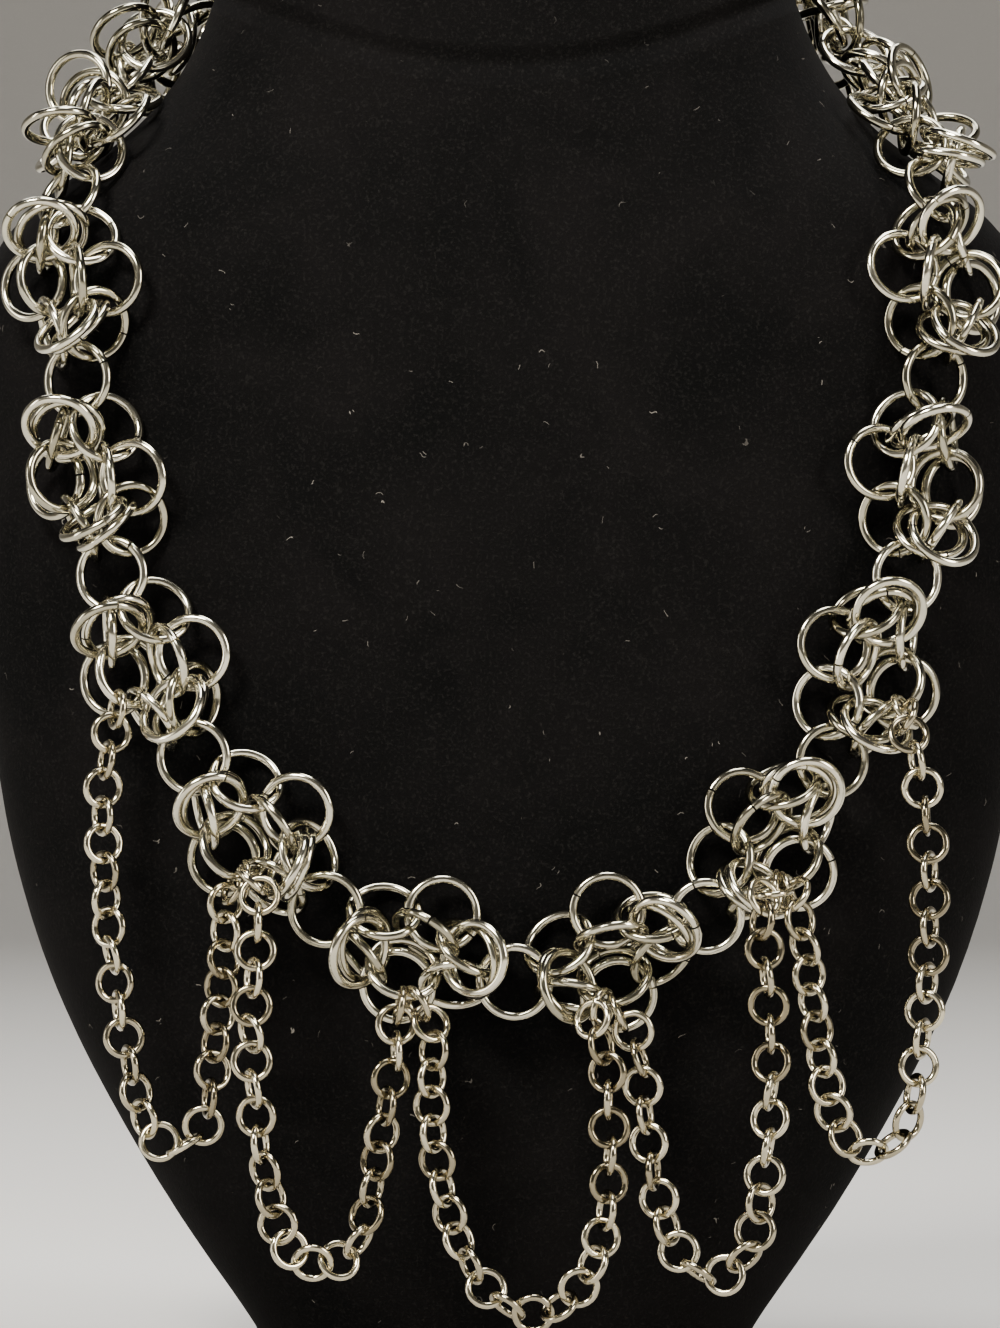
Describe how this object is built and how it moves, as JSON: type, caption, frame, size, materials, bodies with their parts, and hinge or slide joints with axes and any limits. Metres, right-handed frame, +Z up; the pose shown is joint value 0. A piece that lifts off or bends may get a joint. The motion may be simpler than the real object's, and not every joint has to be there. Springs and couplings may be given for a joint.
{
  "type": "chainmail necklace on a velvet neck bust",
  "caption": "Ring-woven flower chain necklace with hanging chain swags, lying round the neck of a plain black velvet display bust.",
  "frame": {"origin": "centre of the footprint of everything, on the plane that the bust stands on", "axes": "+Z up, the bust and the swags face -Y, +X to the right as seen from the front"},
  "size_m": [0.154, 0.0974, 0.232],
  "materials": {
    "ring_steel": "bright",
    "chain_steel": "bright",
    "velvet": "matte"
  },
  "bodies": {
    "root": {"bust": "velvet", "flower_1": "ring_steel", "flower_2": "ring_steel", "flower_3": "ring_steel", "flower_4": "ring_steel", "flower_5": "ring_steel", "flower_6": "ring_steel", "flower_7": "ring_steel", "flower_8": "ring_steel", "flower_9": "ring_steel", "flower_10": "ring_steel", "flower_11": "ring_steel", "flower_12": "ring_steel", "flower_13": "ring_steel", "flower_14": "ring_steel", "connector_1": "ring_steel", "connector_2": "ring_steel", "connector_3": "ring_steel", "connector_4": "ring_steel", "connector_5": "ring_steel", "connector_6": "ring_steel", "connector_7": "ring_steel", "connector_8": "ring_steel", "connector_9": "ring_steel", "connector_10": "ring_steel", "connector_11": "ring_steel", "connector_12": "ring_steel", "connector_13": "ring_steel", "connector_14": "ring_steel", "connector_15": "ring_steel", "swag_1": "chain_steel", "swag_2": "chain_steel", "swag_3": "chain_steel", "swag_4": "chain_steel", "swag_5": "chain_steel", "back_chain_left": "chain_steel", "back_chain_right": "chain_steel", "clasp": "chain_steel"}
  },
  "joints": []
}
